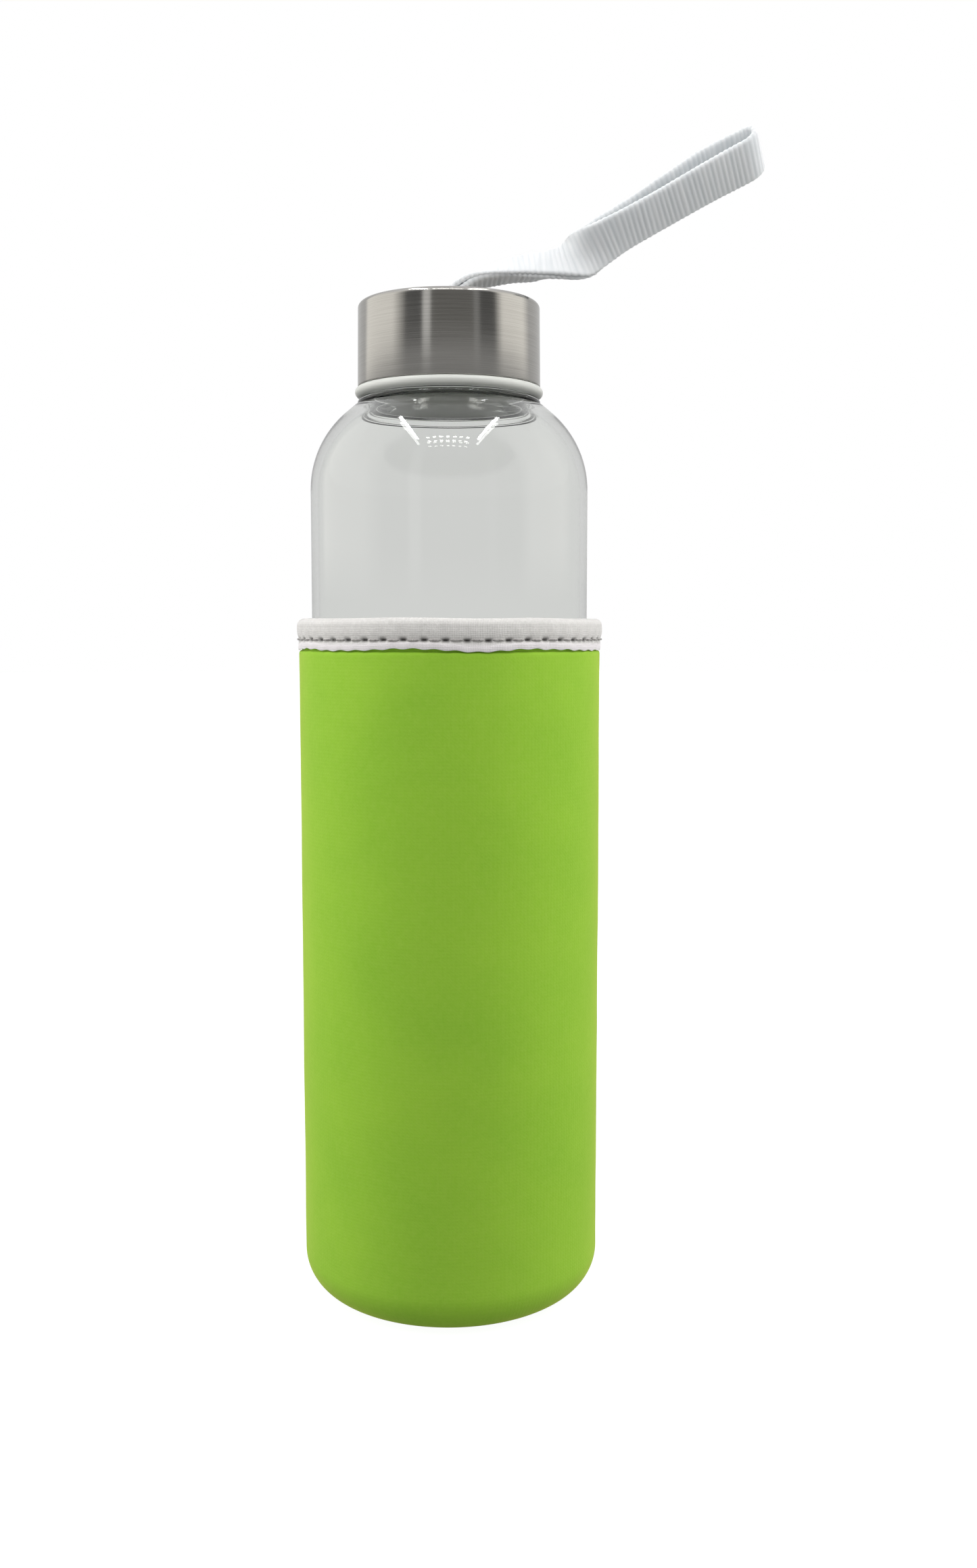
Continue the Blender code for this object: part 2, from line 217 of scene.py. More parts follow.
def turned(name, profile, steps=ROUND, closed=True):
    """A profile of (r, z) drawn by extruding a vertex, then spun round the bottle's axis."""
    points = [(r, 0.0, z) for r, z in profile]
    if closed:
        points.append(points[0])
    piece = one_vertex(name, points[0])
    extrude_along(points)
    bpy.ops.mesh.select_all(action="SELECT")
    bpy.ops.mesh.spin(steps=steps, angle=TURN, center=(0, 0, 0), axis=(0, 0, 1))
    return finish_mesh(piece)


def pick(piece):
    """The piece alone selected and active."""
    deselect()
    piece.select_set(True)
    bpy.context.view_layer.objects.active = piece


def smooth(piece, degrees=40):
    pick(piece)
    bpy.ops.object.shade_smooth_by_angle(angle=math.radians(degrees))
    return piece


def combine(piece, other, operation):
    """Joins the other solid to the piece, or cuts it away, and removes the other."""
    pick(piece)
    boolean = piece.modifiers.new("Boolean", "BOOLEAN")
    boolean.operation = operation
    boolean.solver = "EXACT"
    boolean.object = other
    bpy.ops.object.modifier_apply(modifier=boolean.name)
    bpy.data.objects.remove(other, do_unlink=True)


def tube(name, points, radius, radii=None, resolution=3):
    """A round tube with filled ends, as a mesh."""
    curve = bpy.data.curves.new(name, "CURVE")
    curve.dimensions = "3D"
    curve.bevel_depth = radius
    curve.bevel_resolution = resolution
    curve.use_fill_caps = True
    spline = curve.splines.new("POLY")
    spline.points.add(len(points) - 1)
    for i, (point, place) in enumerate(zip(spline.points, points)):
        point.co = (*place, 1.0)
        point.radius = radii[i] if radii else 1.0
    piece = bpy.data.objects.new(name, curve)
    bpy.context.scene.collection.objects.link(piece)
    pick(piece)
    bpy.ops.object.convert(target="MESH")
    piece = bpy.context.object
    bpy.ops.object.mode_set(mode="EDIT")
    return finish_mesh(piece)


def ridge(name, radius, start_z, turns):
    """A round helical ridge that runs out at both ends."""
    per_turn = 48
    last = int(turns * per_turn)
    points, radii = [], []
    for i in range(last + 1):
        angle = TURN * i / per_turn
        points.append((radius * math.cos(angle), radius * math.sin(angle),
                       start_z + THREAD_LEAD * i / per_turn))
        radii.append(min(1.0, 0.35 + 0.1 * min(i, last - i)))
    return tube(name, points, THREAD_RIDGE_R, radii)


def join(name, pieces):
    deselect()
    for piece in pieces:
        piece.select_set(True)
    bpy.context.view_layer.objects.active = pieces[0]
    if len(pieces) > 1:
        bpy.ops.object.join()
    pieces[0].name = name
    pieces[0].data.name = name
    return pieces[0]


def wrap_uv(piece, radius):
    """A UV map in metres: round the axis at the given radius, and up the surface."""
    mesh = piece.data
    layer = mesh.uv_layers.get("wrap") or mesh.uv_layers.new(name="wrap")
    for face in mesh.polygons:
        middle = math.atan2(face.center.y, face.center.x)
        for loop in face.loop_indices:
            place = mesh.vertices[mesh.loops[loop].vertex_index].co
            turn = math.atan2(place.y, place.x) - middle
            turn = (turn + math.pi) % TURN - math.pi
            out = math.hypot(place.x, place.y)
            layer.data[loop].uv = ((middle + turn) * radius, place.z + (radius - out))


def point_attribute(piece, name, values):
    layer = piece.data.attributes.new(name, "FLOAT", "POINT")
    layer.data.foreach_set("value", np.asarray(values, np.float32))


def points_of(piece):
    co = np.empty(len(piece.data.vertices) * 3)
    piece.data.vertices.foreach_get("co", co)
    return co.reshape(-1, 3)


def set_points(piece, co):
    piece.data.vertices.foreach_set("co", co.ravel())
    piece.data.update()


# ---- materials ----------------------------------------------------------------------------

def node_in(tree, kind, inputs=(), **settings):
    """A new shader node, its inputs set to numbers and colours or linked to other nodes."""
    made = tree.nodes.new("ShaderNode" + kind)
    for key, value in settings.items():
        setattr(made, key, value)
    for socket, value in dict(inputs).items():
        if isinstance(value, bpy.types.NodeSocket):
            tree.links.new(value, made.inputs[socket])
        else:
            made.inputs[socket].default_value = value
    return made


class Finish:
    """A Principled material and short ways to add nodes to it."""

    def __init__(self, name, color, roughness, **sockets):
        self.material = bpy.data.materials.new(name)
        self.material.use_nodes = True
        self.tree = self.material.node_tree
        self.shader = self.tree.nodes["Principled BSDF"]
        self.set("Base Color", (*color, 1.0))
        self.set("Roughness", roughness)
        for socket, value in sockets.items():
            self.set(socket.replace("_", " "), value)

    def set(self, socket, value):
        self.shader.inputs[socket].default_value = value

    def node(self, kind, inputs=(), **settings):
        return node_in(self.tree, kind, inputs, **settings)

    def feed(self, socket, output):
        self.tree.links.new(output, self.shader.inputs[socket])

    def place(self, scale=(1, 1, 1), uv=None):
        """Object coordinates, or a UV map in metres, times scale."""
        if uv:
            source = self.node("UVMap", uv_map=uv).outputs["UV"]
        else:
            source = self.node("TexCoord").outputs["Object"]
        return self.node("Mapping", {"Vector": source, "Scale": scale}).outputs["Vector"]

    def noise(self, scale, stretch=(1, 1, 1), uv=None, detail=3.0, roughness=0.55):
        made = self.node("TexNoise", {"Vector": self.place(stretch, uv), "Scale": scale,
                                      "Detail": detail, "Roughness": roughness})
        return made.outputs["Fac"]

    def wave(self, scale, uv=None, direction="X", distortion=0.0):
        made = self.node("TexWave", {"Vector": self.place(uv=uv), "Scale": scale,
                                     "Distortion": distortion, "Detail": 1.0},
                         bands_direction=direction)
        return made.outputs["Fac"]

    def math(self, operation, a, b):
        return self.node("Math", {0: a, 1: b}, operation=operation).outputs[0]

    def ramp(self, value, low, high, to_low=0.0, to_high=1.0):
        made = self.node("MapRange", {"Value": value, "From Min": low, "From Max": high,
                                      "To Min": to_low, "To Max": to_high})
        return made.outputs["Result"]

    def blend(self, factor, a, b):
        return self.node("Mix", {0: factor, 6: a, 7: b}, data_type="RGBA").outputs[2]

    def bump(self, height, strength, distance, below=None):
        inputs = {"Height": height, "Strength": strength, "Distance": distance}
        if below is not None:
            inputs["Normal"] = below
        return self.node("Bump", inputs).outputs["Normal"]


def rgb(r, g, b):
    return (r, g, b, 1.0)


def clear_glass():
    look = Finish("clear_glass", (0.99, 0.995, 0.985), 0.0, IOR=1.43, Transmission_Weight=1.0)
    haze = look.noise(90.0, detail=2.0)
    look.feed("Roughness", look.ramp(haze, 0.35, 0.75, 0.0, 0.025))
    absorb = look.node("VolumeAbsorption", {"Color": rgb(0.72, 0.84, 0.69), "Density": 17.0})
    output = look.tree.nodes["Material Output"]
    look.tree.links.new(absorb.outputs["Volume"], output.inputs["Volume"])
    return look.material


def lime_neoprene():
    look = Finish("lime_neoprene", (0.34, 0.66, 0.05), 0.9, Sheen_Weight=0.5,
                  Sheen_Roughness=0.35, Specular_IOR_Level=0.2)
    look.set("Sheen Tint", rgb(1.0, 0.95, 0.25))
    cloudy = look.noise(38.0, detail=4.0)
    fine = look.noise(900.0, detail=3.0)
    tone = look.blend(look.ramp(cloudy, 0.3, 0.7), rgb(0.305, 0.605, 0.044), rgb(0.355, 0.660, 0.050))
    tone = look.blend(look.ramp(fine, 0.35, 0.8, 0.0, 0.30), tone, rgb(0.44, 0.70, 0.085))
    look.feed("Base Color", tone)
    courses = look.wave(420.0, uv="wrap", direction="Y", distortion=1.2)
    wales = look.wave(360.0, uv="wrap", direction="X", distortion=1.2)
    knit = look.math("MULTIPLY", courses, wales)
    fuzz = look.noise(2600.0, detail=2.0)
    surface = look.bump(knit, 0.14, 0.12 * MM)
    look.feed("Normal", look.bump(fuzz, 0.25, 0.12 * MM, surface))
    return look.material


def binding_tape():
    look = Finish("binding_tape", (0.40, 0.385, 0.36), 0.9, Sheen_Weight=0.25,
                  Specular_IOR_Level=0.2)
    # mask of painted shade in the needle holes
    hole_shade = look.node("Attribute", attribute_name="hole_shade").outputs["Fac"]
    lip = look.node("Attribute", attribute_name="lip").outputs["Fac"]
    fine = look.noise(1500.0, detail=3.0)
    tone = look.blend(look.ramp(fine, 0.3, 0.75), rgb(0.72, 0.705, 0.68), rgb(0.83, 0.815, 0.79))
    tone = look.blend(lip, tone, rgb(0.90, 0.865, 0.875))
    # painted shade: near-black colour in the needle holes stands in for the shade inside them
    tone = look.blend(hole_shade, tone, rgb(0.03, 0.027, 0.025))
    look.feed("Base Color", tone)
    weft = look.wave(900.0, uv="wrap", direction="Y", distortion=0.6)
    warp = look.wave(900.0, uv="wrap", direction="X", distortion=0.6)
    surface = look.bump(look.math("ADD", weft, warp), 0.3, 0.1 * MM)
    look.feed("Normal", look.bump(fine, 0.3, 0.1 * MM, surface))
    return look.material


def thread(name, dark, light):
    look = Finish(name, light, 0.75, Sheen_Weight=0.3)
    ply = look.noise(2200.0, stretch=(1.0, 1.0, 0.4), detail=2.0)
    look.feed("Base Color", look.blend(look.ramp(ply, 0.35, 0.65), rgb(*dark), rgb(*light)))
    look.feed("Normal", look.bump(ply, 0.5, 0.08 * MM))
    return look.material


def brushed_steel():
    look = Finish("brushed_steel", (0.43, 0.42, 0.40), 0.2, Metallic=1.0, Anisotropic=0.8,
                  Anisotropic_Rotation=0.25)
    streak = look.noise(1.0, stretch=(40.0, 6500.0, 1.0), uv="wrap", detail=4.0, roughness=0.7)
    tone = look.blend(look.ramp(streak, 0.3, 0.7), rgb(0.365, 0.355, 0.333), rgb(0.495, 0.484, 0.458))
    look.feed("Base Color", tone)
    look.feed("Roughness", look.ramp(streak, 0.25, 0.75, 0.14, 0.21))
    look.feed("Tangent", look.node("Tangent", direction_type="UV_MAP", uv_map="wrap").outputs[0])
    look.feed("Normal", look.bump(streak, 0.06, 0.02 * MM))
    return look.material


def grey_plastic():
    look = Finish("grey_plastic", (0.68, 0.69, 0.65), 0.38)
    grain = look.noise(1400.0, detail=2.0)
    tone = look.blend(look.noise(120.0), rgb(0.65, 0.66, 0.62), rgb(0.72, 0.73, 0.69))
    look.feed("Base Color", tone)
    look.feed("Roughness", look.ramp(grain, 0.3, 0.7, 0.32, 0.46))
    look.feed("Normal", look.bump(grain, 0.1, 0.03 * MM))
    return look.material


def silicone():
    look = Finish("silicone", (0.78, 0.78, 0.75), 0.45, Transmission_Weight=0.25, IOR=1.41,
                  Subsurface_Weight=0.3, Subsurface_Scale=MM)
    look.set("Subsurface Radius", (1.0, 1.0, 1.0))
    cloudy = look.noise(300.0)
    look.feed("Base Color", look.blend(cloudy, rgb(0.70, 0.70, 0.67), rgb(0.84, 0.84, 0.81)))
    return look.material


def pin_steel():
    look = Finish("pin_steel", (0.5, 0.5, 0.49), 0.3, Metallic=1.0)
    drawn = look.noise(1.0, stretch=(2500.0, 40.0, 2500.0), detail=3.0)
    look.feed("Roughness", look.ramp(drawn, 0.3, 0.7, 0.22, 0.42))
    look.feed("Normal", look.bump(drawn, 0.15, 0.02 * MM))
    return look.material


def webbing_cloth():
    look = Finish("webbing_cloth", (0.82, 0.84, 0.85), 0.8, Sheen_Weight=0.2,
                  Specular_IOR_Level=0.25, Subsurface_Weight=0.5, Subsurface_Scale=2 * MM)
    look.set("Subsurface Radius", (1.0, 1.0, 1.0))
    # mask of painted shade in the grooves between the ribs
    groove_shade = look.node("Attribute", attribute_name="groove_shade").outputs["Fac"]
    rib_tone = look.noise(1.0, stretch=(60.0, 700.0, 1.0), uv="band", detail=2.0)
    yarn = look.noise(1.0, stretch=(900.0, 5200.0, 1.0), uv="band", detail=2.0)
    tone = look.blend(look.ramp(rib_tone, 0.35, 0.65), rgb(0.76, 0.785, 0.80), rgb(0.84, 0.855, 0.865))
    # painted shade: the grooves between the ribs are darkened in colour, where shade falls
    tone = look.blend(look.math("MULTIPLY", groove_shade, 0.3), tone, rgb(0.60, 0.64, 0.66))
    look.feed("Base Color", tone)
    look.feed("Normal", look.bump(yarn, 0.25, 0.05 * MM))
    return look.material


# ---- the pieces ---------------------------------------------------------------------------

def finish_piece(piece, body, slot, material, *nodes):
    piece.data.materials.clear()
    piece.data.materials.append(material)
    if body:
        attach(piece, body)
    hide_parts(*nodes)
    return piece


def smooth_rows(rows, steps):
    """Rows of a smooth curve through the given rows, with steps between each two."""
    rows = np.array(rows, float)
    padded = np.vstack([2 * rows[0] - rows[1], rows, 2 * rows[-1] - rows[-2]])
    found = []
    for i in range(1, len(padded) - 2):
        a, b, c, d = padded[i - 1:i + 3]
        for t in np.arange(steps) / steps:
            found.append(0.5 * (2 * b + (c - a) * t + (2 * a - 5 * b + 4 * c - d) * t ** 2
                                + (3 * b - a - 3 * c + d) * t ** 3))
    found.append(rows[-1])
    return np.array(found)


def glass_profile():
    """Up the inside from the middle of the floor, over the rim, and down the outside."""
    dome_r = GLASS_R - SHOULDER_ARC_R
    floor_z = GLASS_FOOT + FLOOR
    heel_in = GLASS_HEEL_R - GLASS_WALL
    inside = smooth_rows([(0.0, floor_z + PUNT_RISE), (PUNT_R * 0.6, floor_z + PUNT_RISE * 0.6),
                          (GLASS_R - GLASS_HEEL_R, floor_z)], 6)
    inside = [tuple(p) for p in inside]
    inside += arc((GLASS_R - GLASS_HEEL_R, floor_z + heel_in), heel_in, -90, 0, 12)[1:]
    inside += arc((dome_r, SHOULDER_Z - SHOULDER_DROP), SHOULDER_ARC_R - GLASS_WALL,
                  0, SHOULDER_LEAN, 18)
    last_r, last_z = inside[-1]
    slope = math.tan(math.radians(SHOULDER_LEAN))
    inside.append((NECK_BORE_R, last_z + (last_r - NECK_BORE_R) / slope))
    rim_r = (NECK_R - NECK_BORE_R) / 2
    rim = arc((NECK_BORE_R + rim_r, RIM_Z - rim_r), rim_r, 180, 0, 16)
    shelf = arc((NECK_R + NECK_FILLET, SHELF_Z + NECK_FILLET), NECK_FILLET, 180, 270, 5)
    bead = arc(BEAD, BEAD_R, 90, -35, 14)
    shelf += bead + [tuple(p) for p in smooth_rows((bead[-1],) + GROOVE, 5)[1:]]
    dome = arc((dome_r, SHOULDER_Z), SHOULDER_ARC_R, SHOULDER_LEAN, 0, 24)
    heel = arc((GLASS_R - GLASS_HEEL_R, GLASS_FOOT + GLASS_HEEL_R), GLASS_HEEL_R, 0, -90, 14)
    punt = smooth_rows([(PUNT_R, GLASS_FOOT), (PUNT_R * 0.6, GLASS_FOOT + PUNT_RISE * 0.7),
                        (0.0, GLASS_FOOT + PUNT_RISE)], 6)
    return inside + rim + shelf + dome + heel + [tuple(p) for p in punt]


def make_glass():
    bottle = turned("clear_bottle", glass_profile(), closed=False)
    thread_ridge = ridge("neck_ridge", NECK_RIDGE_R, NECK_RIDGE_Z, 1.5)
    combine(bottle, thread_ridge, "UNION")
    smooth(bottle, 35)
    finish_piece(bottle, "glass", "clear_glass", clear_glass(), "glass_bottle")


def make_cap():
    corner = (CAP_TOP_R - CAP_EDGE_R, CAP_TOP - CAP_EDGE_R)
    lip = arc((CAP_FOOT_R - STEEL / 2, CAP_FOOT + STEEL / 2), STEEL / 2, 0, -180, 6)
    profile = [(0.0, CAP_TOP), (8.0 * MM, CAP_TOP)] + arc(corner, CAP_EDGE_R, 90, 0, 12) + lip
    profile += arc(corner, CAP_EDGE_R - STEEL, 0, 90, 8) + [(0.0, CAP_TOP - STEEL)]
    shell = turned("steel_cap", profile, closed=False)
    combine(shell, slot_cutter(), "DIFFERENCE")
    wrap_uv(shell, CAP_TOP_R)
    smooth(shell, 30)
    finish_piece(shell, "cap", "brushed_steel", brushed_steel(), "cap_shell")

    flange = (RING_R - RING_HALF, LINER_FOOT + RING_HALF)
    edge = 0.25 * MM
    profile = [(0.0, PLATE_TOP), (LINER_RIM_BORE_R, PLATE_TOP), (LINER_RIM_BORE_R, LINER_TOP)]
    profile += arc((LINER_R - edge, LINER_TOP - edge), edge, 90, 0, 4)
    profile += [(LINER_R, LINER_FOOT + 2 * RING_HALF)]
    profile += arc(flange, RING_HALF, 90, -90, 16)
    profile += arc((LINER_BORE_R + edge, LINER_FOOT + edge), edge, -90, -180, 4)
    profile += [(LINER_BORE_R, PLATE_TOP - PLATE), (0.0, PLATE_TOP - PLATE)]
    liner = turned("cap_inner", profile, closed=False)
    thread_ridge = ridge("cap_ridge", CAP_RIDGE_R, CAP_RIDGE_Z, 1.25)
    combine(liner, thread_ridge, "UNION")
    smooth(liner, 35)
    finish_piece(liner, "cap", "grey_plastic", grey_plastic(), "cap_liner")

    round_r = 0.3 * MM
    profile = []
    for r, z, start in ((SEAL_OUT_R - round_r, SEAL_TOP - round_r, 90),
                        (SEAL_OUT_R - round_r, SEAL_FOOT + round_r, 0),
                        (SEAL_IN_R + round_r, SEAL_FOOT + round_r, -90),
                        (SEAL_IN_R + round_r, SEAL_TOP - round_r, -180)):
        profile += arc((r, z), round_r, start, start - 90, 4)
    seal = smooth(turned("silicone_seal", profile))
    finish_piece(seal, "seal", "silicone", silicone(), "cap_seal")


def slot_cutter():
    """A block as wide as the slot, its upright edges rounded."""
    deselect()
    bpy.ops.mesh.primitive_cube_add(size=1, location=(0, 0, CAP_TOP),
                                    scale=(SLOT_WIDTH, SLOT_LENGTH, 8 * STEEL))
    cutter = bpy.context.object
    bpy.ops.object.transform_apply(location=True, rotation=True, scale=True)
    bpy.ops.object.mode_set(mode="EDIT")
    bpy.ops.mesh.select_mode(type="EDGE")
    bpy.ops.mesh.select_all(action="DESELECT")
    bpy.ops.object.mode_set(mode="OBJECT")
    for edge in cutter.data.edges:
        a, b = (cutter.data.vertices[i].co for i in edge.vertices)
        edge.select = abs(a.z - b.z) > STEEL
    bpy.ops.object.mode_set(mode="EDIT")
    bpy.ops.mesh.bevel(offset=0.4 * SLOT_WIDTH, segments=8, affect="EDGES")
    bpy.ops.object.mode_set(mode="OBJECT")
    return cutter


def make_pin():
    half, steps = PIN_LENGTH / 2, 6
    along, radii = [], []
    for i in range(steps + 1):
        angle = math.radians(90 * i / steps)
        along.append(-half + PIN_R * 0.5 * (1 - math.cos(angle)) if i else -half)
        radii.append(0.35 + 0.65 * math.sin(angle))
    along += [-a for a in reversed(along)]
    radii += list(reversed(radii))
    points = [(0.0, y, PIN_Z) for y in along]
    pin = smooth(tube("keeper_pin", points, PIN_R, radii, resolution=8), 50)
    finish_piece(pin, "cap", "pin_steel", pin_steel(), "strap_keeper_pin")


def make_sleeve():
    heel = (SLEEVE_R - HEEL_R, HEEL_R)
    outside = [(SQUEEZED_OUT_R, WALL_TOP), (SQUEEZED_OUT_R, STEP_Z + 0.4 * MM)]
    outside += arc((SLEEVE_R - 0.8 * MM, STEP_Z - 0.8 * MM), 0.8 * MM, 80, 0, 5)
    heights = np.linspace(STEP_Z - 1.0 * MM, HEEL_R + 1.0 * MM, 70)
    outside += [(SLEEVE_R, z) for z in heights]
    outside += arc(heel, HEEL_R, 0, -85, 24)
    edge = 0.7 * MM
    hem = arc((heel[0] + edge - 0.15 * MM, edge), edge, -100, -180, 5)
    inside = [(hem[-1][0], SLEEVE_WALL - 0.1 * MM)]
    inside += arc(heel, HEEL_R - SLEEVE_WALL, -90, 0, 12)
    inside += [(SLEEVE_R - SLEEVE_WALL, STEP_Z - 0.6 * MM), (SQUEEZED_IN_R, STEP_Z),
               (SQUEEZED_IN_R, WALL_TOP)]
    sleeve = turned("neoprene_sleeve", outside + hem + inside, steps=2 * ROUND)
    settle_sleeve(sleeve)
    wrap_uv(sleeve, SLEEVE_R)
    smooth(sleeve, 50)
    green = lime_neoprene()
    finish_piece(sleeve, "sleeve", "green_neoprene", green, "sleeve_wall")

    edge = 0.6 * MM
    profile = [(0.0, SLEEVE_WALL)] + arc((BASE_R - edge, SLEEVE_WALL - edge), edge, 90, 0, 5)
    profile += arc((BASE_R - edge, edge), edge, 0, -90, 5) + [(0.0, 0.0)]
    disc = turned("sleeve_bottom", profile, closed=False)
    wrap_uv(disc, SLEEVE_R)
    smooth(disc, 50)
    finish_piece(disc, "sleeve", "green_neoprene", green, "sleeve_base")


def settle_sleeve(sleeve):
    """Small unevenness of foam cloth on the outside, and the sunken butt seam at the back."""
    co = points_of(sleeve)
    out = np.hypot(co[:, 0], co[:, 1])
    middle = (co[:, 2] > HEEL_R) & (co[:, 2] < STEP_Z - 2 * MM) & (out > SLEEVE_R - 0.5 * MM)
    for i in np.nonzero(middle)[0]:
        x, y, z = co[i]
        lumps = noise.noise(Vector((x, y, z)) * 45) * 0.10 + noise.noise(Vector((x, y, z)) * 140) * 0.04
        fade = min(1.0, (z - HEEL_R) / (6 * MM), (STEP_Z - 2 * MM - z) / (3 * MM))
        seam = math.exp(-(x / (0.45 * MM)) ** 2) if y > 0 else 0.0
        shift = (lumps * fade - 0.45 * seam * fade) * MM
        co[i, :2] *= 1 + shift / out[i]
    set_points(sleeve, co)


def make_binding():
    roll = arc(ROLL, ROLL_R, 180, 0, 22)
    face = smooth_rows([(ROLL[0] + ROLL_R, ROLL[1]), (33.72 * MM, 149.4 * MM), (33.58 * MM, 148.4 * MM),
                        (WAIST_R, STITCH_Z), (33.46 * MM, 146.9 * MM), (33.56 * MM, 146.4 * MM),
                        (33.56 * MM, 145.9 * MM), (33.46 * MM, LIP_Z - 0.1 * MM),
                        (33.32 * MM, LIP_Z - 0.05 * MM)], 4)
    hollow = WALL_TOP + 0.3 * MM
    in_r = 32.93 * MM
    inside = [(in_r, LIP_Z + 0.35 * MM), (in_r, hollow - 0.3 * MM), (in_r - 0.3 * MM, hollow),
              (TAPE_IN_R + TAPE + 0.3 * MM, hollow), (TAPE_IN_R + TAPE, hollow - 0.3 * MM),
              (TAPE_IN_R + TAPE, LIP_Z), (TAPE_IN_R, LIP_Z)]
    profile = roll + [tuple(p) for p in face[1:]] + inside
    tape = turned("edge_binding", profile, steps=ROUND_TAPE)
    pucker_binding(tape)
    wrap_uv(tape, SLEEVE_R)
    smooth(tape, 50)
    finish_piece(tape, "sleeve", "binding_tape", binding_tape(), "sleeve_binding")


def stitch_wave(turn):
    """How far a place round the sleeve is from the nearest needle hole, in stitches: -0.5 to 0.5."""
    part = turn * STITCHES / TURN
    return part - np.round(part)


def pucker_binding(tape):
    """Needle holes and the sunken stitch line, soft bulges above it, and a wavy lip below; the holes
    also carry painted shade.
    """
    co = points_of(tape)
    turn = np.arctan2(co[:, 1], co[:, 0])
    out = np.hypot(co[:, 0], co[:, 1])
    z = co[:, 2].copy()
    outer = out > ROLL[0] + 0.8 * MM
    wave = stitch_wave(turn)
    lumps = np.array([noise.noise(Vector((p[0], p[1], p[2] * 0.4)) * 130) for p in co])
    slow = np.array([noise.noise(Vector((p[0], p[1], 0.0)) * 60) for p in co])
    # the mask of the needle holes sinks the tape there and also paints shade into their colour
    hole_shade = np.exp(-(wave / 0.19) ** 4) * np.exp(-((z - STITCH_Z) / (0.42 * MM)) ** 2)
    bulge = (0.5 - 0.5 * np.cos(TURN * wave)) * np.exp(-((z - 149.0 * MM) / (1.2 * MM)) ** 2)
    lip = np.clip((147.1 * MM - z) / (0.6 * MM), 0, 1)
    shift = -0.45 * hole_shade + 0.13 * bulge + 0.18 * lip * lumps + 0.07 * lumps
    out += np.where(outer, shift * MM, 0)
    drop = lip * (0.45 * slow + 0.25 * lumps - 0.12 * np.cos(TURN * wave)) * MM
    co[:, 2] += np.where(outer, drop, 0) + 0.16 * slow * MM * np.clip((z - LIP_Z) / (1 * MM), 0, 1)
    co[:, 0], co[:, 1] = out * np.cos(turn), out * np.sin(turn)
    set_points(tape, co)
    point_attribute(tape, "hole_shade", np.where(outer, hole_shade, 0))
    point_attribute(tape, "lip", np.where(outer, lip, 0))


def moved_copy(piece, move):
    """A copy with its own mesh, moved by a matrix."""
    copy = piece.copy()
    copy.data = piece.data.copy()
    bpy.context.scene.collection.objects.link(copy)
    copy.data.transform(move)
    return copy


def copies_round(name, piece, count):
    """The piece and its copies spaced evenly round the axis, joined."""
    turns = [Matrix.Rotation(TURN * i / count, 4, "Z") for i in range(1, count)]
    return join(name, [piece] + [moved_copy(piece, turn) for turn in turns])


def round_line(radius, z, start, end, count, dive):
    """Points on a circle whose two ends dive towards the axis."""
    points = []
    for i in range(count + 1):
        turn = start + (end - start) * i / count
        deep = dive * (abs(2 * i / count - 1) ** 4)
        points.append(((radius - deep) * math.cos(turn), (radius - deep) * math.sin(turn), z))
    return points


def make_stitching():
    step = TURN / STITCHES
    line = round_line(WAIST_R + 0.22 * MM, STITCH_Z, 0.21 * step, 0.79 * step, 10, 0.55 * MM)
    stitch = tube("stitch", line, STITCH_R, resolution=2)
    stitches = smooth(copies_round("binding_stitches", stitch, STITCHES), 60)
    grey = thread("sewing_thread", (0.24, 0.23, 0.22), (0.44, 0.425, 0.41))
    finish_piece(stitches, "sleeve", "sewing_thread", grey, "binding_stitching")

    step = TURN / BOTTOM_STITCHES
    line = round_line(SEAM_R, 1.0 * MM, 0.12 * step, 0.88 * step, 8, 0.0)
    lowered = [(x, y, z + 0.5 * MM * abs(2 * i / 8 - 1) ** 3) for i, (x, y, z) in enumerate(line)]
    stitch = tube("stitch", lowered, BOTTOM_STITCH_R, resolution=2)
    stitches = smooth(copies_round("bottom_stitches", stitch, BOTTOM_STITCHES), 60)
    green = thread("seam_thread", (0.14, 0.30, 0.02), (0.27, 0.50, 0.05))
    finish_piece(stitches, "sleeve", "seam_thread", green, "sleeve_base_seam")

    back = SLEEVE_R + 0.12 * MM
    zigzag = []
    for part in np.arange(13) / 12:
        x = ZIGZAG_REACH * (2 * part - 1)
        dive = 0.45 * MM * abs(2 * part - 1) ** 6
        zigzag.append((x, math.sqrt(back ** 2 - x * x) - dive, SIDE_SEAM_FOOT + ZIGZAG_PITCH * part / 2))
    stitch = tube("stitch", zigzag, ZIGZAG_R, resolution=1)
    back_again = Matrix.Translation((0, 0, ZIGZAG_PITCH / 2)) @ Matrix.Diagonal((-1, 1, 1, 1))
    mirrored = moved_copy(stitch, back_again)
    mirrored.data.flip_normals()
    pair = join("pair", [stitch, mirrored])
    count = int((SIDE_SEAM_TOP - SIDE_SEAM_FOOT) / ZIGZAG_PITCH)
    made = [moved_copy(pair, Matrix.Translation((0, 0, ZIGZAG_PITCH * i))) for i in range(count)]
    bpy.data.objects.remove(pair, do_unlink=True)
    seam = smooth(join("back_seam_stitches", made), 60)
    finish_piece(seam, "sleeve", "seam_thread", green, "sleeve_side_seam")


def strand_sections(stations):
    """Rows of place and across direction along one strand, and its run at the end."""
    rows = smooth_rows(stations, 6)
    rows[:, :3] *= MM
    runs = np.gradient(rows[:, :3], axis=0)
    sections = []
    for row, run in zip(rows, runs):
        run = run / np.linalg.norm(run)
        side = np.array((0.0, 1.0, 0.0)) - run[1] * run
        side /= np.linalg.norm(side)
        angle = math.radians(row[3])
        across = math.cos(angle) * side + math.sin(angle) * np.cross(run, side)
        sections.append(np.concatenate([row[:3], across]))
    return np.array(sections), run


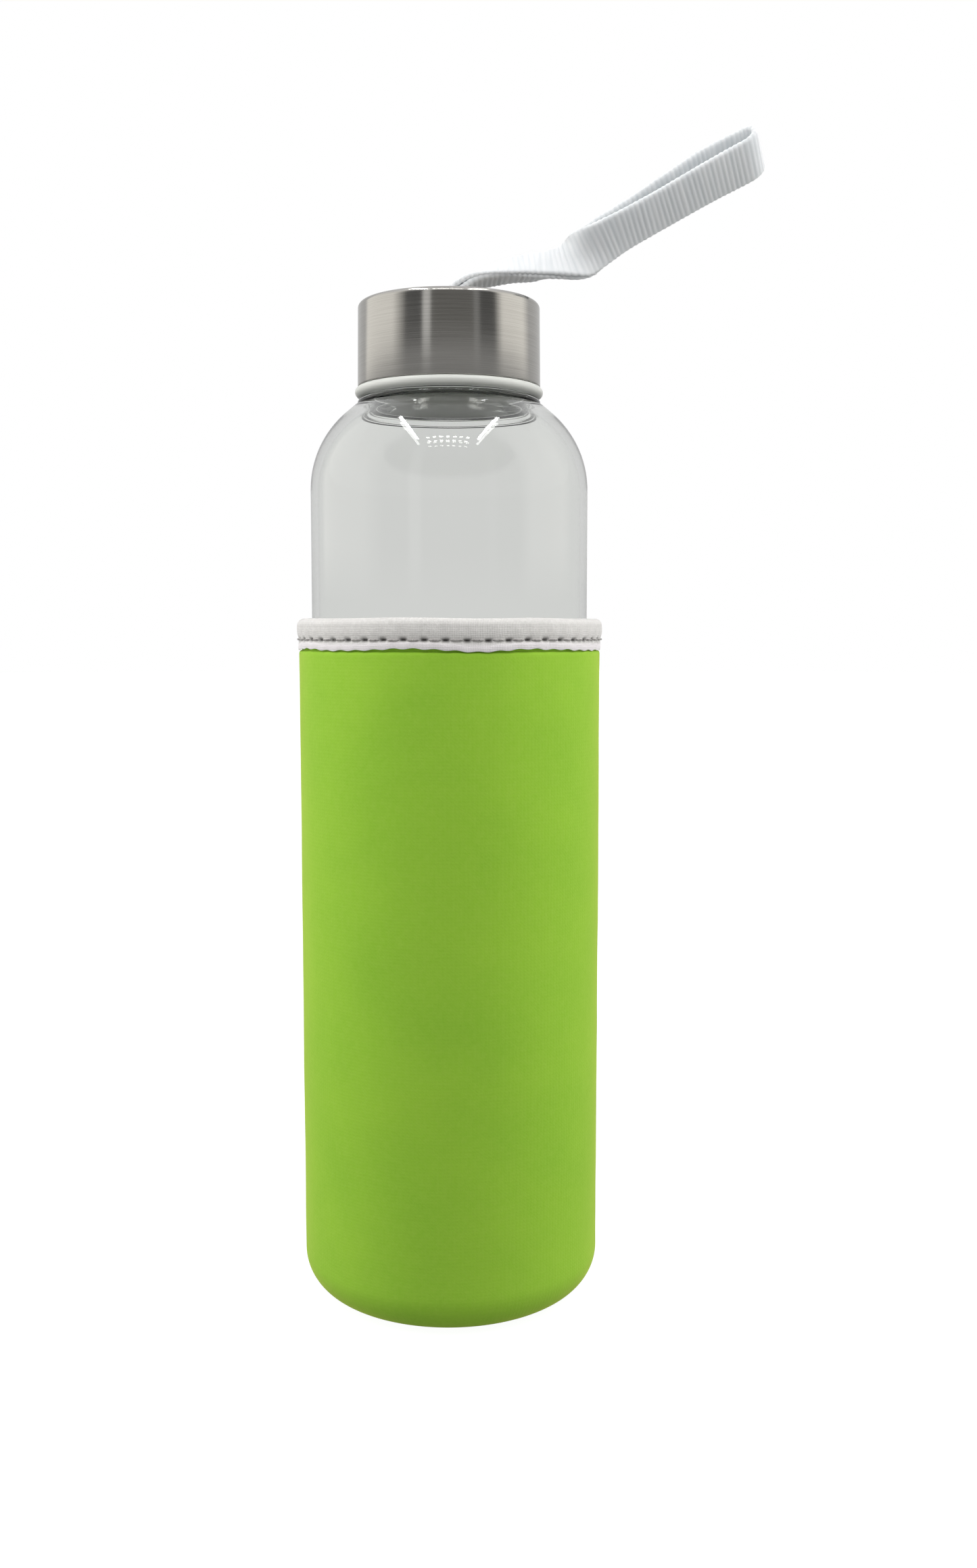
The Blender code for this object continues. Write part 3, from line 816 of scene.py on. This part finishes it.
def loop_sections():
    """The whole band: out along the upper strand, back along the lower one, round the pin."""
    out, run = strand_sections(UPPER_STATIONS)
    back, _ = strand_sections(LOWER_STATIONS)
    first, last = out[-1], back[-1]
    middle, half = (first + last) / 2, (first - last) / 2
    fold = []
    for angle in np.linspace(0, math.pi, 13)[1:-1]:
        row = middle + half * math.cos(angle)
        row[:3] += run * LOOP_TIP * math.sin(angle)
        fold.append(row)
    root = [(STRAND_HALF, ROOT_TOP), (STRAND_HALF, ROOT_SPREAD_Z)]
    root += arc((0.0, PIN_Z), ROOT_R, 40, -220, 16)
    root += [(-STRAND_HALF, ROOT_SPREAD_Z), (-STRAND_HALF, ROOT_TOP)]
    root = [np.array((x, 0, z, 0, 1, 0), float) for x, z in root]
    return np.vstack([out, fold, back[::-1], root])


def evenly_closed(rows, step):
    """The closed run of rows, smoothed and read again at even steps, and the length at each."""
    count = len(rows)
    rows = smooth_rows(np.vstack([rows[-2:], rows, rows[:2]]), 4)[8:8 + 4 * count]
    ring = np.vstack([rows, rows[:1]])
    run = np.concatenate([[0], np.cumsum(np.linalg.norm(np.diff(ring[:, :3], axis=0), axis=1))])
    number = int(run[-1] / step)
    at = np.linspace(0, run[-1], number + 1)
    even = np.column_stack([np.interp(at, run, ring[:, k]) for k in range(ring.shape[1])])
    return even[:-1], at


def band_outline():
    """Round one section of the band: (across, out) in metres, and the way round to each."""
    half, thick = WEBBING_WIDTH / 2, WEBBING / 2
    flat = np.linspace(-(half - thick), half - thick, 15)
    top = [(a, thick) for a in flat]
    right = [(half - thick + thick * math.cos(t), thick * math.sin(t))
             for t in np.radians((60, 25, -25, -60))]
    under = [(a, -thick) for a in flat[::-1]]
    left = [(-a, b) for a, b in right[::-1]]
    outline = np.array(top + right + under + left)
    ring = np.vstack([outline, outline[:1]])
    way = np.concatenate([[0], np.cumsum(np.linalg.norm(np.diff(ring, axis=0), axis=1))])
    return outline, way


def rib_height(length, total):
    """Height of the cross ribs, 0 in a groove to 1 on a crest, uneven along the band."""
    ribs = round(total / RIB)
    sway = np.array([noise.noise(Vector((s / (4.3 * MM), 1.7, 0.0))) for s in length])
    phase = TURN * ribs * length / total + 1.6 * sway
    tall = 0.75 + 0.5 * np.array([noise.noise(Vector((s / (3.1 * MM), 7.3, 0.0))) for s in length])
    return np.clip((0.5 + 0.5 * np.cos(phase)) ** 0.7 * tall, 0, 1.2)


def make_loop():
    rows, way = evenly_closed(loop_sections(), BAND_STEP)
    places, across = rows[:, :3], rows[:, 3:]
    run = np.roll(places, -1, axis=0) - np.roll(places, 1, axis=0)
    run /= np.linalg.norm(run, axis=1)[:, None]
    across = across - (across * run).sum(axis=1)[:, None] * run
    across /= np.linalg.norm(across, axis=1)[:, None]
    normal = np.cross(run, across)
    outline, round_way = band_outline()
    rib = rib_height(way[:-1], way[-1])
    height = (rib - 0.5) * RIB_HEIGHT
    edge = np.clip(1 - (np.abs(outline[:, 0]) / (WEBBING_WIDTH / 2)) ** 8, 0.2, 1)
    sign = np.sign(outline[:, 1])
    stretch = 1 + 0.03 * (rib - 0.5)
    rings = (places[:, None] + across[:, None] * (outline[None, :, 0] * stretch[:, None])[:, :, None]
             + normal[:, None] * (outline[None, :, 1] + height[:, None] * edge * sign)[:, :, None])
    band = band_piece("carry_loop", rings, way, round_way, rib)
    smooth(band, 80)
    finish_piece(band, None, "webbing", webbing_cloth(), "strap_loop", "strap_root")
    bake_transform(band)


def band_piece(name, rings, way, round_way, rib):
    """A closed band from a flat grid, one ring of points at each place, with a UV map in metres."""
    count, per_ring = rings.shape[:2]
    deselect()
    bpy.ops.mesh.primitive_grid_add(x_subdivisions=count, y_subdivisions=per_ring, size=2)
    piece = bpy.context.object
    piece.name = name
    piece.data.name = name
    flat = points_of(piece)
    i = np.round((flat[:, 0] + 1) / 2 * count).astype(int)
    j = np.round((flat[:, 1] + 1) / 2 * per_ring).astype(int)
    set_points(piece, rings[i % count, j % per_ring])
    # painted shade in the grooves between the ribs, strongest at the bottom of each groove
    point_attribute(piece, "groove_shade", np.clip(1 - 1.6 * rib[i % count], 0, 1))
    corners = np.empty(len(piece.data.loops), int)
    piece.data.loops.foreach_get("vertex_index", corners)
    layer = piece.data.uv_layers.new(name="band")
    layer.data.foreach_set("uv", np.stack([round_way[j[corners]], way[i[corners]]], axis=-1).ravel())
    bpy.ops.object.mode_set(mode="EDIT")
    return finish_mesh(piece)


# ---- studio -------------------------------------------------------------------------------

# Brightness of the room round the object: bearing in degrees from the camera's side, right
# positive, then brightness and warmth
ROOM = (
    (-180, 0.70, 0.0), (-128, 0.70, 0.0), (-121, 1.36, 0.6), (-73, 1.30, 0.6), (-53, 0.14, 0.0),
    (-33, 0.10, 0.0), (-30, 0.90, 0.0), (-23, 0.90, 0.0), (-20, 0.18, 0.6), (31, 0.18, 0.6),
    (34, 0.34, 0.0), (38, 0.32, 0.0), (42, 0.10, 0.0), (60, 0.12, 0.0), (72, 1.34, 0.6),
    (107, 1.40, 0.6), (121, 0.70, 0.0), (180, 0.70, 0.0),
)
EYE_LEVEL = 0.60  # brightness of the room at eye level
THROUGH_GLASS = 0.65  # brightness of the backdrop seen through the bottle
OVERHEAD = 0.95


def make_room():
    world = bpy.data.worlds.new("studio")
    world.use_nodes = True
    bpy.context.scene.world = world
    tree = world.node_tree
    way = node_in(tree, "SeparateXYZ", {0: node_in(tree, "TexCoord").outputs["Generated"]})
    behind = node_in(tree, "Math", {0: way.outputs["Y"], 1: -1.0}, operation="MULTIPLY")
    bearing = node_in(tree, "Math", {0: way.outputs["X"], 1: behind.outputs[0]}, operation="ARCTAN2")
    part = node_in(tree, "MapRange", {"Value": bearing.outputs[0], "From Min": -math.pi,
                                      "From Max": math.pi})
    ramp = node_in(tree, "ValToRGB", {"Fac": part.outputs["Result"]})
    stops = ramp.color_ramp.elements
    while len(stops) > 1:
        stops.remove(stops[0])
    for i, (turn, bright, warm) in enumerate(ROOM):
        place = (turn + 180) / 360
        stop = stops[0] if i == 0 else stops.new(place)
        stop.position = place
        stop.color = rgb(bright, bright * (1 - 0.03 * warm), bright * (1 - 0.10 * warm))
    low = node_in(tree, "MapRange", {"Value": way.outputs["Z"], "From Min": 0.02, "From Max": 0.06})
    level = rgb(EYE_LEVEL, EYE_LEVEL, EYE_LEVEL)
    banded = node_in(tree, "Mix", {0: low.outputs["Result"], 6: level, 7: ramp.outputs["Color"]},
                     data_type="RGBA")
    high = node_in(tree, "MapRange", {"Value": way.outputs["Z"], "From Min": 0.42, "From Max": 0.85})
    room = node_in(tree, "Mix", {0: high.outputs["Result"], 6: banded.outputs[2],
                                 7: rgb(OVERHEAD, OVERHEAD, 1.02 * OVERHEAD)}, data_type="RGBA")
    path = node_in(tree, "LightPath").outputs
    grey = rgb(THROUGH_GLASS, THROUGH_GLASS, THROUGH_GLASS)
    clear = node_in(tree, "Mix", {0: path["Is Transmission Ray"], 6: room.outputs[2], 7: grey},
                    data_type="RGBA")
    shown = node_in(tree, "Mix", {0: path["Is Camera Ray"], 6: clear.outputs[2], 7: rgb(1, 1, 1)},
                    data_type="RGBA")
    tree.links.new(shown.outputs[2], tree.nodes["Background"].inputs["Color"])


def make_floor():
    deselect()
    bpy.ops.mesh.primitive_circle_add(vertices=96, radius=5.0, fill_type="NGON",
                                      location=(0, 0, -0.05 * MM))
    floor = bpy.context.object
    floor.name = "floor"
    look = Finish("pale_floor", (0.16, 0.16, 0.16), 0.9, Specular_IOR_Level=0.0)
    look.set("Emission Color", rgb(1, 1, 1))
    path = look.node("LightPath").outputs
    through = look.math("MULTIPLY", path["Is Transmission Ray"], 0.6)
    seen = look.math("ADD", path["Is Camera Ray"], through)
    look.feed("Emission Strength", look.ramp(seen, 0, 1, 0.20, 0.95))
    floor.data.materials.append(look.material)


def area_light(name, place, size, brightness, aim=None, mirrored=False):
    """A flat lamp, sized in metres, its brightness in watts, pointing down or at its aim.

    A mirrored one only shows in steel and glass, any other only lights matt things.
    """
    light = bpy.data.lights.new(name, "AREA")
    light.shape = "RECTANGLE"
    light.size, light.size_y = size
    light.energy = brightness * math.pi * size[0] * size[1]
    lamp = bpy.data.objects.new(name, light)
    lamp.location = place
    if aim:
        lamp.rotation_euler = (Vector(aim) - Vector(place)).to_track_quat("-Z", "Y").to_euler()
    lamp.visible_camera = False
    lamp.visible_diffuse = not mirrored
    lamp.visible_glossy = mirrored
    lamp.visible_transmission = mirrored
    bpy.context.scene.collection.objects.link(lamp)


def make_lights():
    """Soft boxes and fills on both sides, long bars on the ceiling, and small lamps between the bars."""
    for side in (-1, 1):
        corner = (0.36 * side, -0.03, 0.43)
        area_light("soft_box", corner, (0.26, 0.22), 2.6, (0, 0, 0.14))
        area_light("soft_glow", corner, (0.19, 0.16), 0.5, (0, 0, 0.14), mirrored=True)
        area_light("side_fill", (0.75 * side, 0.10, 0.14), (0.30, 0.34), 2.6, (0, 0, 0.12))
        area_light("front_fill", (0.12 * side, -0.22, 0.36), (0.10, 0.10), 5.0, (0, 0, 0.20))
        area_light("ceiling_bar", (0.53 * side, -0.42, 1.3), (0.05, 0.9), 32.0, mirrored=True)
    deselect()
    made = []
    for y in (-0.86, -1.02):
        for x in np.linspace(-0.34, 0.34, 7):
            bpy.ops.mesh.primitive_plane_add(size=0.055, location=(x, y, 1.3))
            made.append(bpy.context.object)
            deselect()
    lamps = join("ceiling_lamps", made)
    look = Finish("lamp_glow", (1, 1, 1), 0.5)
    look.set("Emission Color", rgb(1, 1, 1))
    look.set("Emission Strength", 22.0)
    lamps.data.materials.append(look.material)
    lamps.visible_diffuse = False


def make_camera():
    camera = bpy.data.cameras.new("camera")
    camera.lens = CAMERA_LENS
    camera.clip_start = 0.01
    eye = bpy.data.objects.new("camera", camera)
    eye.location = (CAMERA_SIDE, -CAMERA_BACK, CAMERA_HEIGHT)
    eye.rotation_euler = (math.radians(90 - CAMERA_DIP), 0, 0)
    bpy.context.scene.collection.objects.link(eye)
    bpy.context.scene.camera = eye


make_camera()
make_room()
make_floor()
make_lights()
make_glass()
make_cap()
make_pin()
make_sleeve()
make_binding()
make_stitching()
make_loop()
bpy.context.scene.view_settings.view_transform = "Standard"
